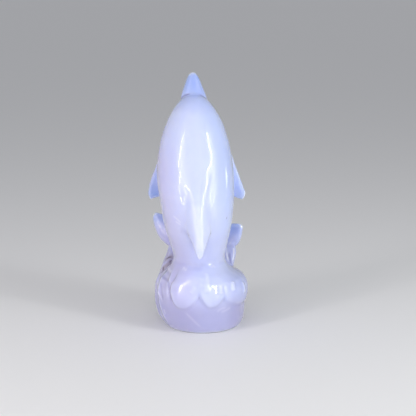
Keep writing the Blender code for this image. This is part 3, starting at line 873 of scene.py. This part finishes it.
# The polished stone. Its colours are linear, and its places and sizes are in metres.
stoneFinish = {
    "lavender": (0.60, 0.58, 0.84, 1.0),
    "milkyWhite": (0.63, 0.68, 0.94, 1.0),
    "milkyBlue": (0.53, 0.62, 0.95, 1.0),
    "lowerLavender": (0.40, 0.39, 0.635, 1.0),
    "paintedShadeUnderTail": (0.38, 0.38, 0.64, 1.0),
    "paintedShadeLavender": (0.20, 0.19, 0.40, 1.0),
    "thinStoneShadeBlue": (0.27, 0.38, 0.74, 1.0),
    "paintedEdgeLight": (0.80, 0.83, 1.0, 1.0),
    "haze": (0.36, 0.28, 0.29, 1.0),
    "stain": (0.16, 0.10, 0.07, 1.0),
    "darkLine": (0.22, 0.20, 0.42, 1.0),
    "paleLine": (0.95, 0.94, 1.0, 1.0),
    "clouds": {"Scale": 38.0, "Detail": 4.0, "Roughness": 0.45, "Distortion": 0.6},
    "cloudShift": 0.010,  # how far the clouds bend the drift of colour
    "driftLean": 0.17,  # how far the lavender reaches across lower down
    "paintedLobeLight": 0.20,
    "inclusionPlace": (-0.0125, 0.0070, 0.0262),
    "inclusionGrain": {"Scale": 230.0, "Detail": 3.0, "Roughness": 0.5, "Distortion": 0.3},
    # How much of a colour is mixed in: the measure it goes by, the values between which it changes, and
    # the share at either, which are 0 and 1 where they aren't given
    "shares": {
        "milkyWhite": ("drift", -0.002, 0.013),
        "milkyBlue": ("drift", 0.018, 0.032),
        "lobe": ("relief", 0.05, 1.1),
        "lobesOnRight": ("X", 0.009, 0.018, 1.0, 0.2),
        "lobesOnLeft": ("X", -0.015, -0.011, 0.1, 1.0),
        "belowWaist": ("Z", 0.026, 0.032, 1.0, 0.0),
        "lobeNotDark": ("lobe", 0.0, 1.0, 1.0, 0.65),
        "foot": ("Z", 0.009, 0.020, 0.78, 0.0),
        "wave": ("Z", 0.015, 0.040, 0.14, 0.0),
        "intoWaist": ("Z", 0.026, 0.032, 0.0, 0.16),
        "outOfWaist": ("Z", 0.037, 0.046, 1.0, 0.0),
        "waveSides": ("aside", 0.011, 0.017, 0.0, 0.22),
        # Painted shade under the tail, behind the body
        "front": ("Y", -0.002, 0.009),
        "frontOnRight": ("X", -0.004, 0.006, 0.2, 0.42),
        "frontTop": ("Z", 0.034, 0.042, 1.0, 0.0),
        # Painted shade, a darker blue, in thin stone, but not in the dorsal fin, and less in the right
        # pectoral fin
        "besideDorsalFin": ("Y", -0.014, -0.004),
        "rightSide": ("X", 0.0, 0.01),
        "finHeights": ("Z", 0.045, 0.055),
        "rightFinThin": ("rightFin", 0.0, 1.0, 1.0, 0.44),
        "flukeThin": ("Z", 0.033, 0.043, 0.20, 1.0),
        "flukes": ("Y", 0.012, 0.016),
        "flukeTips": ("flukeHeight", 0.036, 0.044, 0.0, 0.75),
        "belowFins": ("Z", 0.050, 0.056, 1.0, 0.0),
        "rightFlukeDrop": ("X", -0.005, 0.005, 0.0, 0.0035),  # how much lower that fluke's tip is
        "beak": ("Z", 0.091, 0.106, 0.0, 0.80),
        "inclusion": ("offInclusion", 0.0017, 0.0085, 1.0, 0.0),
        "inclusionSpots": ("grain", 0.35, 0.75, 0.0, 0.75),
        "stainCore": ("stain", 0.5, 0.9),
        "fullForm": ("bend", 0.08, 0.45, 0.0, 0.22),
        "belowBeak": ("Z", 0.091, 0.106, 1.0, 0.2),
        "edge": ("bend", 0.50, 0.95, 0.0, 0.8),
        "shelter": ("shelter", 0.06, 0.60, 0.0, 0.64),
        "crease": ("bend", -0.15, -1.0),
        "creaseHeights": ("Z", 0.031, 0.036, 0.45, 0.15),
        "rim": ("Z", 0.0003, 0.0014, 0.9, 0.0),
    },
    "grain": {"Scale": 900.0, "Detail": 2.0},
    "grainDepth": 0.00002,
    "shader": {
        "Roughness": 0.26,
        "IOR": 1.54,
        "Subsurface Weight": 0.85,
        "Subsurface Scale": 0.0022,
        "Subsurface Radius": (0.75, 0.85, 1.0),
        "Coat Weight": 1.0,
        "Coat Roughness": 0.045,
        "Coat IOR": 1.54,
    },
}


def addNoise(tree, place, settings):
    return addNode(tree, "ShaderNodeTexNoise", None, {"Vector": place, **settings}).outputs[0]


def stoneColour(tree, place):
    look = stoneFinish
    axes = addNode(tree, "ShaderNodeSeparateXYZ", None, {0: place}).outputs
    measures = {axis: axes[axis] for axis in "XYZ"}
    measures["aside"] = addMath(tree, "ABSOLUTE", axes["X"])
    for name in ("thinness", "bend", "shelter", "relief", "lineShade", "lineStain"):
        measures[name] = addNode(tree, "ShaderNodeAttribute", {"attribute_name": name}).outputs["Fac"]

    def share(name):
        measure, *span = look["shares"][name]
        return addRamp(tree, measures[measure], *span)

    def join(operation, first, *others):
        for other in others:
            first = addMath(tree, operation, first, other, clamp=True)
        return first

    def product(*names):
        return join("MULTIPLY", *[share(name) for name in names])

    def blend(amount, first, second):
        inputs = {0: amount, 6: first, 7: second}
        return addNode(tree, "ShaderNodeMix", {"data_type": "RGBA"}, inputs).outputs[2]

    # Lavender on one side, milky blue on the other, with soft clouds between; the lobes are lightened where
    # they stand out, as painted light
    leaning = addMath(tree, "MULTIPLY_ADD", axes["Z"], look["driftLean"], axes["X"])
    cloud = addNoise(tree, place, look["clouds"])
    measures["drift"] = addMath(tree, "MULTIPLY_ADD", cloud, look["cloudShift"], leaning)
    measures["lobe"] = product("lobe", "lobesOnRight", "lobesOnLeft", "belowWaist")
    colour = blend(share("milkyWhite"), look["lavender"], look["milkyWhite"])
    colour = blend(join("MULTIPLY", measures["lobe"], look["paintedLobeLight"]), colour, look["milkyWhite"])
    colour = blend(share("milkyBlue"), colour, look["milkyBlue"])

    # Darker towards the foot: painted shade under the lobes' lips and in the notches between them, which the
    # lobes are kept out of; painted shade in the hollow of the waist; darker on the wave's sides; and painted
    # shade under the tail
    low = join("MULTIPLY", join("MAXIMUM", share("foot"), share("wave")), share("lobeNotDark"))
    low = join("MAXIMUM", low, product("intoWaist", "outOfWaist"))
    low = join("ADD", low, product("waveSides", "belowWaist"))
    colour = blend(low, colour, look["lowerLavender"])
    colour = blend(product("front", "frontOnRight", "frontTop"), colour, look["paintedShadeUnderTail"])

    # Painted shade, a darker blue, where the stone is thin, and in the tips of the flukes and the beak
    measures["rightFin"] = product("rightSide", "finHeights")
    thinHere = [share(name) for name in ("besideDorsalFin", "rightFinThin", "flukeThin")]
    thin = join("MULTIPLY", measures["thinness"], *thinHere)
    measures["flukeHeight"] = addMath(tree, "ADD", share("rightFlukeDrop"), axes["Z"])
    blue = join("MAXIMUM", thin, product("flukes", "flukeTips", "belowFins"), share("beak"))
    colour = blend(blue, colour, look["thinStoneShadeBlue"])

    # The brown inclusion beside the left crest
    measures["offInclusion"] = addVectorMath(tree, "DISTANCE", place, look["inclusionPlace"])["Value"]
    measures["grain"] = addNoise(tree, place, look["inclusionGrain"])
    measures["stain"] = join("MAXIMUM", product("inclusion", "inclusionSpots"), measures["lineStain"])
    colour = blend(measures["stain"], colour, blend(share("stainCore"), look["haze"], look["stain"]))

    # Painted light on full forms and edges; painted shade where stone close by hides the surroundings, and in
    # creases
    paintedLight = join("MAXIMUM", product("fullForm", "belowBeak"), share("edge"))
    colour = blend(paintedLight, colour, look["paintedEdgeLight"])
    colour = blend(share("shelter"), colour, look["paintedShadeLavender"])
    colour = blend(product("crease", "creaseHeights"), colour, look["darkLine"])

    # Lines: darker in grooves and creases, with painted shade beside the dorsal fin; pale along healed cracks
    # and scratches, with painted light on ridges, down the dorsal fin's ridge and in a few glints; then the
    # foot's rim, lightened as painted light
    colour = blend(measures["lineShade"], colour, look["darkLine"])
    colour = blend(join("MULTIPLY", measures["lineShade"], -1.0), colour, look["paleLine"])
    return blend(share("rim"), colour, look["paintedEdgeLight"])


def polishedChalcedony():
    finish = bpy.data.materials.new("polishedChalcedony")
    finish.use_nodes = True
    tree = finish.node_tree
    shader = tree.nodes["Principled BSDF"]
    place = addNode(tree, "ShaderNodeTexCoord").outputs["Object"]
    tree.links.new(stoneColour(tree, place), shader.inputs["Base Color"])
    bump = addNode(tree, "ShaderNodeBump", None, {
        "Height": addNoise(tree, place, stoneFinish["grain"]), "Distance": stoneFinish["grainDepth"],
    })
    tree.links.new(bump.outputs[0], shader.inputs["Normal"])
    for name, value in stoneFinish["shader"].items():
        shader.inputs[name].default_value = value
    return finish


carve(carvedDolphin, polishedChalcedony())
print("stone carved and polished:", len(carvedDolphin.data.polygons), "faces")

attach(carvedDolphin, "root")
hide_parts("dolphin_on_wave")

# The pale floor, the soft boxes and the camera
studio = {
    "floorRadius": 14.0,
    "floorCorners": 64,
    "floorColour": (0.88, 0.87, 0.85, 1.0),
    "floorRoughness": 0.6,
    "skyColour": (0.80, 0.82, 0.88, 1.0),
    "skyStrength": 0.50,
    # Azimuth and elevation from the stone, distance, width, height, watts, colour
    "softBoxes": (
        (-46, 17, 0.50, 0.010, 0.49, 0.43, (1.0, 0.97, 1.0)),
        (51, 14, 0.50, 0.014, 0.45, 0.58, (0.95, 0.98, 1.0)),
        (-39, 16, 0.50, 0.08, 0.42, 0.17, (1.0, 0.96, 0.98)),
        (58, 14, 0.50, 0.08, 0.42, 0.17, (1.0, 0.98, 1.0)),
    ),
    # These only show in the polish
    "glints": (
        (-46, -14, 0.15, 0.004, 0.036, 0.0045, (1.0, 0.97, 1.0)),
        (51, -14, 0.15, 0.004, 0.036, 0.004, (0.95, 0.98, 1.0)),
        (104, -3, 0.50, 0.05, 0.05, 0.035, (0.95, 0.98, 1.0)),
    ),
    # Broad lights that don't show in the polish
    "fills": (
        (-46, 13, 0.50, 0.20, 0.40, 0.52, (1.0, 0.97, 1.0)),
        (51, 14, 0.50, 0.20, 0.40, 0.68, (0.95, 0.98, 1.0)),
        (-4, 34, 0.70, 0.50, 0.50, 0.9, (1.0, 1.0, 1.0)),
    ),
    "aimHeight": 0.055,
}
photoCamera = {
    "lens": 100,
    "sensor": 36,
    "clip": (0.01, 100),
    "distance": 0.4968,
    "elevation": 11,
    "target": (0.00473, 0.0, 0.0512),
}


def direction(azimuth, elevation):
    a, e = math.radians(azimuth), math.radians(elevation)
    return Vector((math.sin(a) * math.cos(e), -math.cos(a) * math.cos(e), math.sin(e)))


def aim(thing, place, away):
    thing.location = place
    thing.rotation_euler = away.to_track_quat("Z", "Y").to_euler()
    bpy.context.scene.collection.objects.link(thing)


def setUpStudio():
    mesh = bmesh.new()
    corners, radius = studio["floorCorners"], studio["floorRadius"]
    bmesh.ops.create_circle(mesh, cap_ends=True, segments=corners, radius=radius)
    floor = finishMesh("floor", mesh)
    paint = bpy.data.materials.new("paleFloor")
    paint.use_nodes = True
    shader = paint.node_tree.nodes["Principled BSDF"]
    shader.inputs["Base Color"].default_value = studio["floorColour"]
    shader.inputs["Roughness"].default_value = studio["floorRoughness"]
    floor.data.materials.append(paint)

    sky = bpy.data.worlds.new("studioSky")
    sky.use_nodes = True
    background = sky.node_tree.nodes["Background"]
    background.inputs["Color"].default_value = studio["skyColour"]
    background.inputs["Strength"].default_value = studio["skyStrength"]
    bpy.context.scene.world = sky

    for light in studio["softBoxes"] + studio["glints"] + studio["fills"]:
        azimuth, elevation, distance, width, height, watts, colour = light
        lamp = bpy.data.lights.new("softBox", "AREA")
        lamp.shape = "RECTANGLE"
        lamp.size, lamp.size_y = width, height
        lamp.energy = watts
        lamp.color = colour
        box = bpy.data.objects.new("softBox", lamp)
        box.visible_camera = False
        box.visible_glossy = light not in studio["fills"]
        box.visible_diffuse = light not in studio["glints"]
        away = direction(azimuth, elevation)
        aim(box, Vector((0, 0, studio["aimHeight"])) + away * distance, away)


def setUpCamera():
    lens = bpy.data.cameras.new("photoCamera")
    lens.lens, lens.sensor_width = photoCamera["lens"], photoCamera["sensor"]
    lens.clip_start, lens.clip_end = photoCamera["clip"]
    camera = bpy.data.objects.new("photoCamera", lens)
    away = direction(0, photoCamera["elevation"])
    aim(camera, Vector(photoCamera["target"]) + away * photoCamera["distance"], away)
    bpy.context.scene.camera = camera


setUpStudio()
setUpCamera()
bpy.context.scene.view_settings.view_transform = "Standard"
print("studio set up")
